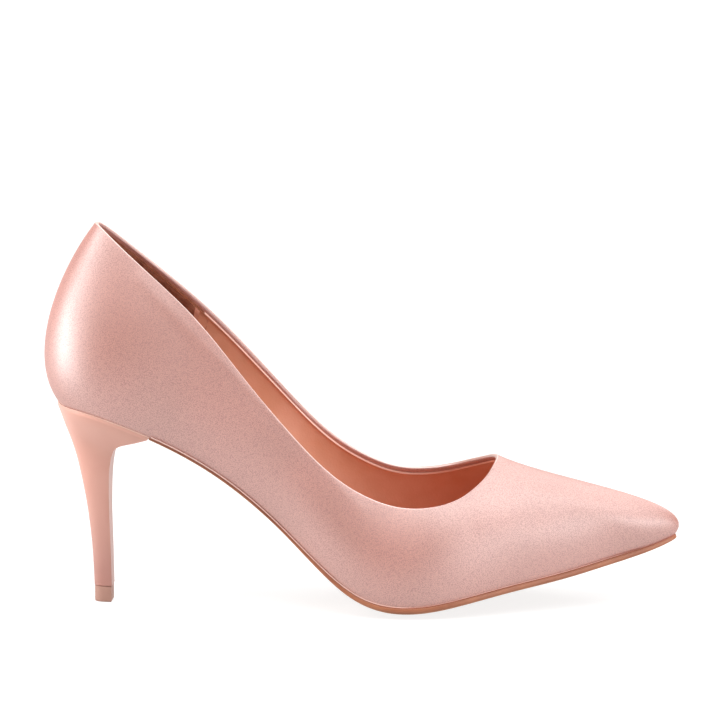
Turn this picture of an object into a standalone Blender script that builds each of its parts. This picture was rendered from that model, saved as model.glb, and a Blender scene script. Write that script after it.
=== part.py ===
"""A pointed court shoe on a stiletto heel, the right shoe of a pair, built as its maker builds it.

Pieces: upper, insole, outsole, heel and top_lift. The toe points along +X, the outer (lateral)
side faces -Y and the inner (medial) side +Y. The shoe stands on the plane Z = 0.

Two closed lines carry the form. The feather line is the lower edge of the upper, where it meets
the sole, and the topline is the edge of its opening. Both are given place by place, from the back
of the heel (first row) to the tip of the toe (last row). Between them the wall of the upper
follows one cubic curve at each place.
"""

import math
from collections import namedtuple

import bmesh
import bpy
import numpy as np

MM = 0.001

# Driving sizes of the shoe
SHOE_LENGTH = 236.4 * MM
SEAT_WIDTH = 47.0 * MM
WAIST_WIDTH = 41.0 * MM
BALL_WIDTH = 72.5 * MM
COLLAR_WIDTH = 58.0 * MM
HEEL_HEIGHT = 75.9 * MM
TOE_SPRING = 24.3 * MM
BACK_HEIGHT = 66.4 * MM
SIDE_HEIGHT = 36.0 * MM
THROAT_HEIGHT = 51.0 * MM
TOE_INSET = 4.2 * MM

# Extra height of the medial side: of its topline, and of the feather line along the arch
MEDIAL_LIFT = 5.6 * MM
ARCH_LIFT = 2.6 * MM

# Thicknesses, and the gap left between pieces that meet
WALL = 1.8 * MM
INSOLE_THICKNESS = 2.4 * MM
SOLE_THICKNESS = 2.1 * MM
SOLE_SHANK_THICKNESS = 1.0 * MM
SOLE_END_THICKNESS = 0.8 * MM
SOLE_WELT = 0.9 * MM
SOLE_CHAMFER = 0.9 * MM
WAIST_BELLY = 0.8 * MM
TREAD_BELLY = 1.2 * MM
GAP = 0.32 * MM

# How far the middle of the last's bottom hangs below its edges, and how much tread is ground flat
FORE_CROWN = 1.8 * MM
SEAT_CROWN = 1.4 * MM
TREAD_FLAT = 1.0 * MM

# Heel and top lift
HEEL_TURN = math.radians(4.5)
LIFT_HEIGHT = 5.9 * MM
LIFT_INSET = 0.15 * MM
LIFT_CHAMFER = 0.35 * MM
SHAFT_DEPTH = 6.9 * MM
SHAFT_WIDTH = 8.4 * MM
SHAFT_SETBACK = 18.9 * MM
SHAFT_FULLNESS = 0.8

# Mesh fineness: steps between two rows of the tables, and across the wall and the soles
STEPS_AROUND = 3
STEPS_UP = 11
STEPS_ACROSS = 8
HEEL_STEPS_ROUND = 12
HEEL_STEPS_DOWN = 3
FRONT_CUT = 8
WELD = 1e-6
SHARP_ANGLE = math.radians(40)

# Height of the feather line at the ball, and its climbs from there to the seat and to the toe
BALL_LIFT = SOLE_THICKNESS + GAP + FORE_CROWN + TREAD_BELLY - TREAD_FLAT
SEAT_CLIMB = HEEL_HEIGHT - BALL_LIFT
TOE_CLIMB = TOE_SPRING - BALL_LIFT

# Feather line. along: share of the length from the back. lateral, medial: distances from the axis.
# climb: height above the ball. arch: share of the arch's lift.
Feather = namedtuple("Feather", "place along lateral medial climb arch")
FEATHER = [
    Feather("back of the seat", 0.025, 0, 0, 1.000 * SEAT_CLIMB, 0.0),
    Feather("seat corner", 0.042, 0.29 * SEAT_WIDTH, 0.29 * SEAT_WIDTH, 0.990 * SEAT_CLIMB, 0.0),
    Feather("seat side", 0.072, 0.43 * SEAT_WIDTH, 0.43 * SEAT_WIDTH, 0.975 * SEAT_CLIMB, 0.0),
    Feather("seat", 0.118, 0.50 * SEAT_WIDTH, 0.50 * SEAT_WIDTH, 0.930 * SEAT_CLIMB, 0.0),
    Feather("heel breast", 0.186, 0.49 * SEAT_WIDTH, 0.47 * SEAT_WIDTH, 0.834 * SEAT_CLIMB, 0.3),
    Feather("rear waist", 0.279, 0.53 * WAIST_WIDTH, 0.49 * WAIST_WIDTH, 0.654 * SEAT_CLIMB, 0.8),
    Feather("waist", 0.368, 0.55 * WAIST_WIDTH, 0.45 * WAIST_WIDTH, 0.410 * SEAT_CLIMB, 1.0),
    Feather("front waist", 0.444, 0.39 * BALL_WIDTH, 0.31 * BALL_WIDTH, 0.172 * SEAT_CLIMB, 0.7),
    Feather("rear ball", 0.512, 0.47 * BALL_WIDTH, 0.40 * BALL_WIDTH, 0.027 * SEAT_CLIMB, 0.2),
    Feather("ball", 0.580, 0.50 * BALL_WIDTH, 0.475 * BALL_WIDTH, 0.0, 0.0),
    Feather("front ball", 0.652, 0.46 * BALL_WIDTH, 0.495 * BALL_WIDTH, 0.125 * TOE_CLIMB, 0.0),
    Feather("toe root", 0.728, 0.355 * BALL_WIDTH, 0.435 * BALL_WIDTH, 0.295 * TOE_CLIMB, 0.0),
    Feather("mid toe", 0.821, 0.225 * BALL_WIDTH, 0.325 * BALL_WIDTH, 0.485 * TOE_CLIMB, 0.0),
    Feather("toe side", 0.910, 0.095 * BALL_WIDTH, 0.205 * BALL_WIDTH, 0.722 * TOE_CLIMB, 0.0),
    Feather("toe corner", 0.969, 0.012 * BALL_WIDTH, 0.125 * BALL_WIDTH, 0.90 * TOE_CLIMB, 0.0),
    Feather("toe tip", 0.994, -TOE_INSET, TOE_INSET, 1.0 * TOE_CLIMB, 0.0),
]

# Topline. width: share of the collar's width, to each side. climb: height above the ball's feather
# line. lift: share of the medial side's lift.
Topline = namedtuple("Topline", "place along width climb lift")
TOPLINE = [
    Topline("back", 0.086, 0.000, FEATHER[0].climb + 1.000 * BACK_HEIGHT, 0.0),
    Topline("back corner", 0.098, 0.117, FEATHER[1].climb + 0.984 * BACK_HEIGHT, 0.0),
    Topline("counter", 0.131, 0.212, FEATHER[2].climb + 0.899 * BACK_HEIGHT, 0.0),
    Topline("rear quarter", 0.178, 0.281, FEATHER[3].climb + 0.801 * BACK_HEIGHT, 0.03),
    Topline("quarter", 0.241, 0.352, FEATHER[4].climb + 0.693 * BACK_HEIGHT, 0.17),
    Topline("front quarter", 0.317, 0.414, FEATHER[5].climb + 1.035 * SIDE_HEIGHT, 0.75),
    Topline("rear side", 0.387, 0.459, FEATHER[6].climb + 0.970 * SIDE_HEIGHT, 0.97),
    Topline("side", 0.453, 0.488, FEATHER[7].climb + 1.010 * SIDE_HEIGHT, 1.0),
    Topline("front side", 0.510, 0.500, 0.788 * THROAT_HEIGHT, 1.0),
    Topline("low side", 0.558, 0.505, 0.716 * THROAT_HEIGHT, 0.93),
    Topline("rear throat", 0.605, 0.488, 0.710 * THROAT_HEIGHT, 0.92),
    Topline("throat side", 0.643, 0.431, 0.745 * THROAT_HEIGHT, 0.93),
    Topline("throat bend", 0.672, 0.341, 0.809 * THROAT_HEIGHT, 0.80),
    Topline("throat corner", 0.695, 0.224, 0.888 * THROAT_HEIGHT, 0.53),
    Topline("throat front", 0.708, 0.109, 0.956 * THROAT_HEIGHT, 0.22),
    Topline("throat", 0.713, 0.000, 0.988 * THROAT_HEIGHT, 0.0),
]

# How the wall leaves the feather line (low) and reaches the topline (high). Each is a handle of the
# wall's curve: forward, sideways away from the axis, and up, as shares of the wall's own reach.
Wall = namedtuple("Wall", "place low_ahead low_aside low_up high_ahead high_aside high_up")
WALL_CURVE = [
    Wall("back", -0.181, 0.000, 0.245, -0.206, 0.000, -0.258),
    Wall("back corner", -0.125, 0.100, 0.250, -0.130, 0.125, -0.265),
    Wall("counter", -0.055, 0.130, 0.280, -0.060, 0.146, -0.290),
    Wall("rear quarter", 0.000, 0.110, 0.305, 0.000, 0.153, -0.305),
    Wall("quarter", 0.040, 0.115, 0.315, -0.040, 0.105, -0.315),
    Wall("front quarter", 0.050, 0.160, 0.315, -0.050, 0.090, -0.315),
    Wall("rear side", 0.030, 0.185, 0.310, -0.030, 0.085, -0.340),
    Wall("side", 0.000, 0.160, 0.300, 0.000, 0.110, -0.330),
    Wall("front side", 0.000, 0.117, 0.310, 0.000, 0.155, -0.310),
    Wall("low side", 0.000, 0.106, 0.330, 0.000, 0.185, -0.290),
    Wall("rear throat", 0.014, 0.110, 0.360, 0.050, 0.225, -0.265),
    Wall("throat side", 0.026, 0.108, 0.365, 0.150, 0.225, -0.220),
    Wall("throat bend", 0.040, 0.100, 0.330, 0.240, 0.165, -0.165),
    Wall("throat corner", 0.080, 0.100, 0.260, 0.280, 0.110, -0.145),
    Wall("throat front", 0.136, 0.075, 0.208, 0.262, 0.056, -0.144),
    Wall("throat", 0.159, 0.000, 0.190, 0.250, 0.000, -0.140),
]

# Heel below its lip. The back and breast lines seen from the side run from the seat (share 0) to
# the shaft's foot (share 1) in length, and width is a share of the seat's added to the shaft's.
Heel = namedtuple("Heel", "place back_down back_in breast_down breast_in width")
HEEL = [
    Heel("seat", 0.000, 0.00, 0.000, 0.00, 1.00),
    Heel("lip", 0.035, 0.07, 0.030, 0.34, 0.86),
    Heel("funnel", 0.110, 0.21, 0.075, 0.78, 0.56),
    Heel("upper shaft", 0.210, 0.40, 0.140, 0.94, 0.31),
    Heel("shaft bend", 0.330, 0.58, 0.270, 1.03, 0.16),
    Heel("mid shaft", 0.550, 0.80, 0.500, 1.05, 0.06),
    Heel("low shaft", 0.780, 0.94, 0.760, 1.02, 0.02),
    Heel("foot", 1.000, 1.00, 1.000, 1.00, 0.00),
]

# The underside along its middle. crown: how far the last hangs below its edges. depth: the outsole's
# thickness at its edge. belly: how much thicker its middle is. welt: how far its edge stands out.
Underside = namedtuple("Underside", "place along crown depth belly welt")
UNDERSIDE = [
    Underside("back", 0.025, 0.0, SOLE_END_THICKNESS, 0.0, 0.0),
    Underside("seat", 0.100, 1.0 * SEAT_CROWN, SOLE_END_THICKNESS, 0.0, 0.0),
    Underside("heel breast", 0.180, 0.6 * SEAT_CROWN, SOLE_END_THICKNESS, 0.0, 0.0),
    Underside("rear waist", 0.300, 0.45 * FORE_CROWN, 0.95 * SOLE_SHANK_THICKNESS, WAIST_BELLY, 0.0),
    Underside("waist", 0.380, 0.50 * FORE_CROWN, SOLE_SHANK_THICKNESS, WAIST_BELLY, 0.0),
    Underside("front waist", 0.420, 0.6 * FORE_CROWN, 0.6 * SOLE_THICKNESS, WAIST_BELLY, 0.2 * SOLE_WELT),
    Underside("rear ball", 0.545, 0.90 * FORE_CROWN, SOLE_THICKNESS, TREAD_BELLY, 0.93 * SOLE_WELT),
    Underside("ball", 0.580, 1.00 * FORE_CROWN, SOLE_THICKNESS, TREAD_BELLY, SOLE_WELT),
    Underside("front ball", 0.650, 0.83 * FORE_CROWN, SOLE_THICKNESS, 0.9 * TREAD_BELLY, SOLE_WELT),
    Underside("toe root", 0.800, 0.45 * FORE_CROWN, SOLE_THICKNESS, 0.4 * TREAD_BELLY, SOLE_WELT),
    Underside("toe side", 0.900, 0.22 * FORE_CROWN, SOLE_THICKNESS, 0.2 * TREAD_BELLY, SOLE_WELT),
    Underside("toe tip", 0.994, 0.0, SOLE_THICKNESS, 0.0, 0.3 * SOLE_WELT),
]

# Rows of the feather table: the last one, and where the heel's breast meets the outsole
LAST_ROW = len(FEATHER) - 1
BREAST_ROW = 3.78


def closed_spline(knots, points):
    """A smooth closed curve through points, as a function of the knot value."""
    count = len(points)
    width = np.diff(knots)
    system = np.zeros((count, count))
    pull = np.zeros_like(points)
    for i in range(count):
        after = (i + 1) % count
        system[i, i - 1] += width[i - 1]
        system[i, i] += 2 * (width[i - 1] + width[i])
        system[i, after] += width[i]
        slope_after = (points[after] - points[i]) / width[i]
        slope_before = (points[i] - points[i - 1]) / width[i - 1]
        pull[i] = 6 * (slope_after - slope_before)
    bend = np.linalg.solve(system, pull)

    def at(value):
        value = value % knots[-1]
        i = min(int(np.searchsorted(knots, value, side="right")) - 1, count - 1)
        j = (i + 1) % count
        b = (value - knots[i]) / width[i]
        a = 1 - b
        straight = a * points[i] + b * points[j]
        return straight + ((a**3 - a) * bend[i] + (b**3 - b) * bend[j]) * width[i] ** 2 / 6

    return at


def round_the_shoe(lateral, medial):
    """Points in order round the shoe: the lateral side from back to toe, then the medial one back."""
    return np.array(lateral + medial[-2:0:-1], float)


def row_points(side):
    """The four control points of the wall's curve at each row, on one side (-1 lateral, 1 medial)."""
    rows = []
    for feather, top, wall in zip(FEATHER, TOPLINE, WALL_CURVE):
        out = feather.lateral if side < 0 else feather.medial
        arch = 0 if side < 0 else feather.arch * ARCH_LIFT
        lift = 0 if side < 0 else top.lift * MEDIAL_LIFT
        low_height = BALL_LIFT + feather.climb + arch
        high_height = BALL_LIFT + top.climb + lift
        low = np.array([feather.along * SHOE_LENGTH, side * out, low_height])
        high = np.array([top.along * SHOE_LENGTH, side * top.width * COLLAR_WIDTH, high_height])
        reach = np.linalg.norm(high - low)
        low_handle = np.array([wall.low_ahead, side * wall.low_aside, wall.low_up])
        high_handle = np.array([wall.high_ahead, side * wall.high_aside, wall.high_up])
        rows.append([low, low + reach * low_handle, high + reach * high_handle, high])
    return rows


LATERAL_ROWS = row_points(-1)
MEDIAL_ROWS = row_points(1)
CONTROL_LOOPS = [
    round_the_shoe([row[k] for row in LATERAL_ROWS], [row[k] for row in MEDIAL_ROWS]) for k in range(4)
]
FEATHER_LOOP = CONTROL_LOOPS[0]
SPANS = np.linalg.norm(np.roll(FEATHER_LOOP, -1, axis=0) - FEATHER_LOOP, axis=1)
KNOTS = np.concatenate([[0], np.cumsum(SPANS)])
CONTROL_LINES = [closed_spline(KNOTS, loop) for loop in CONTROL_LOOPS]


def knot_of(side, row):
    """The splines' value at a fractional row of the tables, on one side."""
    place = row if side < 0 else 2 * LAST_ROW - row
    return float(np.interp(place, range(len(KNOTS)), KNOTS))


def wall_point(value, up):
    """A point of the upper's outside: up runs from 0 at the feather line to 1 at the topline."""
    a, b, c, d = [line(value) for line in CONTROL_LINES]
    down = 1 - up
    return down**3 * a + 3 * down**2 * up * b + 3 * down * up**2 * c + up**3 * d


def feather_point(side, row, inset):
    """A point of the feather line, moved inwards in plan by inset."""
    value = knot_of(side, row)
    line = CONTROL_LINES[0]
    step = 0.5 * MM
    ahead = line(value + step) - line(value - step)
    outwards = np.array([ahead[1], -ahead[0], 0]) / math.hypot(ahead[0], ahead[1])
    return line(value) - inset * outwards


def share_along(row):
    """The share of the shoe's length at a fractional row of the feather table."""
    return float(np.interp(row, range(len(FEATHER)), [feather.along for feather in FEATHER]))


def underside(row, column):
    """A column of the underside's table at a fractional row of the feather table."""
    places = [line.along for line in UNDERSIDE]
    values = [getattr(line, column) for line in UNDERSIDE]
    return float(np.interp(share_along(row), places, values))


def downwards(row):
    """The direction square to the last's bottom at a row, seen from the side."""
    reach = 0.25
    behind = max(row - reach, 0)
    before = min(row + reach, LAST_ROW)
    ahead = feather_point(-1, before, 0) + feather_point(1, before, 0)
    ahead = ahead - feather_point(-1, behind, 0) - feather_point(1, behind, 0)
    return np.array([ahead[2], 0, -ahead[0]]) / math.hypot(ahead[0], ahead[2])


def across(row, inset, drop, belly=0, steps=STEPS_ACROSS):
    """Points across the last's bottom at a row, lateral to medial, lowered by drop, and more amid."""
    left = feather_point(-1, row, inset)
    right = feather_point(1, row, inset)
    down = downwards(row)
    points = []
    for i in range(steps + 1):
        t = i / steps
        sag = (underside(row, "crown") + belly) * 4 * t * (1 - t)
        points.append((1 - t) * left + t * right + (sag + drop) * down)
    return points


def add_rings(bm, rings, cap_first=False, cap_last=False):
    """Joins rings with quads and closes the ends asked for. Rings run anticlockwise seen from ahead."""
    loops = [[bm.verts.new(point) for point in ring] for ring in rings]
    for first, second in zip(loops, loops[1:]):
        for i in range(len(first)):
            bm.faces.new((first[i - 1], first[i], second[i], second[i - 1]))
    if cap_first:
        bm.faces.new(loops[0][::-1])
    if cap_last:
        bm.faces.new(loops[-1])


def add_sheet(bm, rows):
    """Joins rows of equal count into an open sheet of quads."""
    grid = [[bm.verts.new(point) for point in row] for row in rows]
    for first, second in zip(grid, grid[1:]):
        for i in range(1, len(first)):
            bm.faces.new((first[i - 1], first[i], second[i], second[i - 1]))


def finished(name, bm, material, collection, holder):
    """Welds a mesh and hangs its object on the shoe's holder."""
    bmesh.ops.remove_doubles(bm, verts=bm.verts, dist=WELD)
    mesh = bpy.data.meshes.new(name)
    bm.to_mesh(mesh)
    bm.free()
    mesh.materials.append(material)
    mesh.shade_smooth()
    mesh.set_sharp_from_angle(angle=SHARP_ANGLE)
    obj = bpy.data.objects.new(name, mesh)
    collection.objects.link(obj)
    obj.parent = holder
    return obj


def finish_of(name, colour, roughness, sheen=0.0):
    """A material from an sRGB colour written as six hex digits."""
    values = [int(colour[i : i + 2], 16) / 255 for i in (0, 2, 4)]
    linear = [((value + 0.055) / 1.055) ** 2.4 for value in values]
    material = bpy.data.materials.new(name)
    material.use_nodes = True
    shader = material.node_tree.nodes["Principled BSDF"]
    shader.inputs["Base Color"].default_value = (*linear, 1)
    shader.inputs["Roughness"].default_value = roughness
    shader.inputs["Metallic"].default_value = 0.0
    shader.inputs["Sheen Weight"].default_value = sheen
    return material


def places_round():
    """The splines' values at the mesh's steps, once round the shoe."""
    count = len(FEATHER_LOOP) * STEPS_AROUND
    return [float(np.interp(i / STEPS_AROUND, range(len(KNOTS)), KNOTS)) for i in range(count)]


def make_upper(collection, holder):
    """The satin upper with its lining: one wall, open at the collar and underneath."""
    bm = bmesh.new()
    values = places_round()
    levels = [i / STEPS_UP for i in range(STEPS_UP + 1)]
    add_rings(bm, [[wall_point(value, up) for value in values] for up in levels])
    satin = finish_of("rose satin", "CFA198", 0.42, sheen=0.3)
    upper = finished("upper", bm, satin, collection, holder)
    shell = upper.modifiers.new("wall", "SOLIDIFY")
    shell.thickness = WALL
    shell.offset = -1
    shell.use_even_offset = True
    shell.use_quality_normals = True
    return upper


def rows_between(first, last):
    """Fractional rows from first to last, at the mesh's steps."""
    inner = [i / STEPS_AROUND for i in range(LAST_ROW * STEPS_AROUND + 1)]
    margin = 0.5 / STEPS_AROUND
    return [first] + [row for row in inner if first + margin < row < last - margin] + [last]


def make_insole(collection, holder):
    """The insole board with its sock, lying inside the foot of the wall."""
    bm = bmesh.new()
    inset = WALL + GAP
    rings = []
    for row in rows_between(0, LAST_ROW):
        bottom = across(row, inset, 0)
        top = across(row, inset, -INSOLE_THICKNESS)
        rings.append(bottom + top[::-1])
    add_rings(bm, rings)
    sock = finish_of("salmon sock", "D88F72", 0.6)
    return finished("insole", bm, sock, collection, holder)


def make_outsole(collection, holder):
    """The outsole, from the heel's lip to the toe, with a chamfered edge and a flat tread."""
    bm = bmesh.new()
    ahead_of_heel = BREAST_ROW + GAP / (SHOE_LENGTH * (share_along(4) - share_along(3)))
    rings = []
    for row in rows_between(ahead_of_heel, LAST_ROW):
        welt = underside(row, "welt")
        depth = underside(row, "depth")
        chamfer = SOLE_CHAMFER * depth / SOLE_THICKNESS
        top = across(row, -welt, GAP)
        side = across(row, -welt, GAP + 0.5 * depth)
        bottom = across(row, chamfer - welt, GAP + depth, underside(row, "belly"))
        tread = [np.array([point[0], point[1], max(point[2], 0)]) for point in bottom]
        rings.append(tread + [side[-1]] + top[::-1] + [side[0]])
    add_rings(bm, rings, cap_first=True)
    tan = finish_of("tan sole", "C98B68", 0.5)
    return finished("outsole", bm, tan, collection, holder)


def blend_rows(table, position):
    """A smooth row between the rows of a table, by a curve through its neighbours."""
    values = np.array([row[1:] for row in table], float)
    i = min(int(position), len(values) - 2)
    t = position - i
    before = values[max(i - 1, 0)]
    after = values[min(i + 2, len(values) - 1)]
    start = 0.5 * (values[i + 1] - before)
    end = 0.5 * (after - values[i])
    rise = values[i + 1] - values[i]
    return values[i] + t * start + t**2 * (3 * rise - 2 * start - end) + t**3 * (start + end - 2 * rise)


def seat_edge(drop, inset):
    """The heel's top edge under the feather line: from its breast round the back to its breast."""
    edge = []
    for i in range(2 * HEEL_STEPS_ROUND + 1):
        side = -1 if i <= HEEL_STEPS_ROUND else 1
        row = BREAST_ROW * abs(1 - i / HEEL_STEPS_ROUND)
        edge.append(feather_point(side, row, inset) + drop * downwards(row))
    return edge


def seat_shape():
    """The seat's edge in shares: how far behind the breast, how far aside, and its height between."""
    edge = seat_edge(0, 0)
    breast = 0.5 * (edge[0] + edge[-1])
    back = edge[HEEL_STEPS_ROUND]
    behind = [(breast[0] - point[0]) / (breast[0] - back[0]) for point in edge]
    aside = [point[1] / (0.5 * SEAT_WIDTH) for point in edge]
    rise = [point[2] - breast[2] - share * (back[2] - breast[2]) for point, share in zip(edge, behind)]
    return list(zip(behind, aside, rise))


def heel_section(back, breast, seat_share):
    """A heel section. It changes from the seat's outline (1) to the shaft's (0), which is round
    behind, flat on its breast and turned outwards with the foot."""
    depth = breast[0] - back[0]
    centre = 0.5 * (back[0] + breast[0])
    width = SHAFT_WIDTH + seat_share * (SEAT_WIDTH - SHAFT_WIDTH)
    turn = (1 - seat_share) * HEEL_TURN
    ring = []
    for i, (seat_behind, seat_aside, seat_rise) in enumerate(seat_shape()):
        angle = math.pi * i / (2 * HEEL_STEPS_ROUND)
        behind = math.sin(angle) ** SHAFT_FULLNESS
        aside = -math.copysign(abs(math.cos(angle)) ** SHAFT_FULLNESS, math.cos(angle))
        behind += seat_share * (seat_behind - behind)
        aside += seat_share * (seat_aside - aside)
        ahead = breast[0] - depth * behind - centre
        sideways = aside * 0.5 * width
        height = breast[1] + (back[1] - breast[1]) * behind + seat_share * seat_rise
        x = centre + ahead * math.cos(turn) + sideways * math.sin(turn)
        y = sideways * math.cos(turn) - ahead * math.sin(turn)
        ring.append(np.array([x, y, height]))
    front = [ring[-1] + (ring[0] - ring[-1]) * i / FRONT_CUT for i in range(1, FRONT_CUT)]
    return ring + front


def seat_ring(drop, inset):
    """The heel's top edge, closed across its breast."""
    front = across(BREAST_ROW, inset, drop, steps=FRONT_CUT)
    return seat_edge(drop, inset) + front[-2:0:-1]


def shaft_foot():
    """The back and breast of the shaft where the top lift meets it, in the side view."""
    back = np.array([SHAFT_SETBACK, LIFT_HEIGHT + GAP])
    return back, back + np.array([SHAFT_DEPTH, 0])


def heel_rings():
    """The heel's sections, from under the seat down to the foot of the shaft."""
    lip_drop = GAP + SOLE_END_THICKNESS
    lip = seat_ring(lip_drop, 0)
    lip_breast = 0.5 * (lip[0] + lip[2 * HEEL_STEPS_ROUND])
    seat_back = lip[HEEL_STEPS_ROUND][[0, 2]]
    seat_breast = lip_breast[[0, 2]]
    foot_back, foot_breast = shaft_foot()
    rings = [seat_ring(GAP, 0), lip]
    steps = (len(HEEL) - 1) * HEEL_STEPS_DOWN
    for i in range(1, steps + 1):
        back_down, back_in, breast_down, breast_in, width = blend_rows(HEEL, i / HEEL_STEPS_DOWN)
        back = seat_back + (foot_back - seat_back) * [back_in, back_down]
        breast = seat_breast + (foot_breast - seat_breast) * [breast_in, breast_down]
        rings.append(heel_section(back, breast, width))
    return rings


def make_heel(collection, holder):
    """The stiletto heel: a cupped seat, a curved breast and a slim shaft."""
    bm = bmesh.new()
    add_rings(bm, heel_rings(), cap_last=True)
    rows = [BREAST_ROW * (1 - i / HEEL_STEPS_ROUND) for i in range(HEEL_STEPS_ROUND + 1)]
    add_sheet(bm, [across(row, 0, GAP, steps=FRONT_CUT) for row in rows])
    lacquer = finish_of("nude lacquer", "E0AC99", 0.25)
    return finished("heel", bm, lacquer, collection, holder)


def make_top_lift(collection, holder):
    """The replaceable top lift under the shaft, with a chamfered tread edge."""
    bm = bmesh.new()
    back, breast = shaft_foot()
    levels = [(LIFT_HEIGHT, LIFT_INSET), (LIFT_CHAMFER, LIFT_INSET), (0, LIFT_INSET + LIFT_CHAMFER)]
    rings = []
    for height, inset in levels:
        ring = heel_section(back, breast, 0)
        middle = np.mean(ring, axis=0)
        half = np.array([0.5 * SHAFT_DEPTH, 0.5 * SHAFT_WIDTH])
        shrink = 1 - inset / half
        rings.append([
            np.array([*(middle[:2] + (point[:2] - middle[:2]) * shrink), height]) for point in ring
        ])
    add_rings(bm, rings, cap_first=True, cap_last=True)
    rubber = finish_of("nude rubber", "C99A86", 0.6)
    return finished("top_lift", bm, rubber, collection, holder)


def centre_on_floor(holder, pieces):
    """Moves the holder so that the shoe's box is centred over the origin, standing on the floor."""
    bpy.context.view_layer.update()
    graph = bpy.context.evaluated_depsgraph_get()
    corners = []
    for piece in pieces:
        mesh = piece.evaluated_get(graph).to_mesh()
        corners += [tuple(vertex.co) for vertex in mesh.vertices]
    corners = np.array(corners)
    middle = 0.5 * (corners.min(axis=0) + corners.max(axis=0))
    holder.location = (-middle[0], -middle[1], 0)


def main():
    for obj in list(bpy.data.objects):
        bpy.data.objects.remove(obj)
    collection = bpy.data.collections.new("court_shoe")
    bpy.context.scene.collection.children.link(collection)
    holder = bpy.data.objects.new("shoe", None)
    collection.objects.link(holder)
    makers = [make_upper, make_insole, make_outsole, make_heel, make_top_lift]
    pieces = [make(collection, holder) for make in makers]
    centre_on_floor(holder, pieces)


main()
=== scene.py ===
"""A pointed court shoe in rose satin, right foot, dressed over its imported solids.

The toe points along +X, the outer (lateral) side faces -Y and the inner (medial) side +Y. The shoe's
own lengths are measured from its back, and CENTRE moves it over the frame's origin.
"""

import math
from collections import namedtuple

import bmesh
import bpy
import numpy as np
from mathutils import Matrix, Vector


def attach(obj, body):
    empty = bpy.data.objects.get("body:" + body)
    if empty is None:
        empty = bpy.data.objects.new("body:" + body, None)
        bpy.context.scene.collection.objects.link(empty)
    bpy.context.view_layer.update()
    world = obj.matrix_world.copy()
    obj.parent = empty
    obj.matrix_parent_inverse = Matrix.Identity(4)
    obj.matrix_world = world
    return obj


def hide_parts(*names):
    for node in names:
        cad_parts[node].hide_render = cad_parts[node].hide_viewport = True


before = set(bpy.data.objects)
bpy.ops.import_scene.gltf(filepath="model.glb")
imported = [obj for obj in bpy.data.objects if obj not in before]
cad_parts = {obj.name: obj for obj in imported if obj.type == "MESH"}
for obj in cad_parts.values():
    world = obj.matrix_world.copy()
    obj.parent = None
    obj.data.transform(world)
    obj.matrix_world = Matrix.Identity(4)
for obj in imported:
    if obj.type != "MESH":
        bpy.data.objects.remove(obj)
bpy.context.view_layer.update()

MM = 0.001
CENTRE = np.array([-118.71 * MM, -0.14 * MM, 0.0])


def table(columns, rows):
    """Rows with named columns, each begun with the place on the shoe that it describes."""
    kind = namedtuple("Row", columns)
    return [kind(*row) for row in rows]


# The shoe's sizes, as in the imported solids
SHOE_LENGTH = 236.4 * MM
SEAT_WIDTH = 47.0 * MM
WAIST_WIDTH = 41.0 * MM
BALL_WIDTH = 72.5 * MM
COLLAR_WIDTH = 58.0 * MM
HEEL_HEIGHT = 75.9 * MM
TOE_SPRING = 24.3 * MM
BACK_HEIGHT = 66.4 * MM
SIDE_HEIGHT = 36.0 * MM
THROAT_HEIGHT = 51.0 * MM
TOE_INSET = 4.2 * MM
MEDIAL_LIFT = 5.6 * MM
ARCH_LIFT = 2.6 * MM
WALL = 1.8 * MM
SOCK_TOP = 2.4 * MM
SOLE_THICKNESS = 2.1 * MM
SOLE_SHANK_THICKNESS = 1.0 * MM
SOLE_END_THICKNESS = 0.8 * MM
SOLE_WELT = 0.9 * MM
SOLE_CHAMFER = 0.9 * MM
WAIST_BELLY = 0.8 * MM
TREAD_BELLY = 1.2 * MM
GAP = 0.32 * MM
FORE_CROWN = 1.8 * MM
SEAT_CROWN = 1.4 * MM
TREAD_FLAT = 1.0 * MM
HEEL_TURN = math.radians(4.5)
LIFT_HEIGHT = 5.9 * MM
LIFT_INSET = 0.15 * MM
SHAFT_DEPTH = 6.9 * MM
SHAFT_WIDTH = 8.4 * MM
SHAFT_SETBACK = 18.9 * MM
SHAFT_FULLNESS = 0.8
BALL_LIFT = SOLE_THICKNESS + GAP + FORE_CROWN + TREAD_BELLY - TREAD_FLAT
SEAT_CLIMB = HEEL_HEIGHT - BALL_LIFT
TOE_CLIMB = TOE_SPRING - BALL_LIFT

# Sizes that only the looks need
SATIN_DEPTH = 0.95 * MM
FOLD_RADIUS = 0.5 * WALL
FOLD_SQUARENESS = 0.85
FOLD_RETURN = 1.5 * MM
LINING_PROUD = 0.5 * MM
LINING_LIP = 1.2 * MM
HEM_START = -0.14 * MM
HEM_DROP = 0.12 * MM
GRIP_THICKNESS = 0.55 * MM
GRIP_ROW = 4.12
SOLE_TOP_GAP = 0.28 * MM
TIP_THINNING = 0.4
TIP_ROWS = 2
WAIST_END_ROW = 8
STITCH_PITCH = 2.6 * MM
STITCH_LENGTH = 1.9 * MM
THREAD_THICKNESS = 0.32 * MM
# Heights between which the heel's painted shade fades from full at its foot to none
HEEL_SHADE_FOOT = 12 * MM
HEEL_SHADE_TOP = 58 * MM
CORNER_ANGLE = math.radians(50)
COLUMNS_A_ROW = 12
FINE_LEVELS = 241
LEVELS_UP = 48

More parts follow.
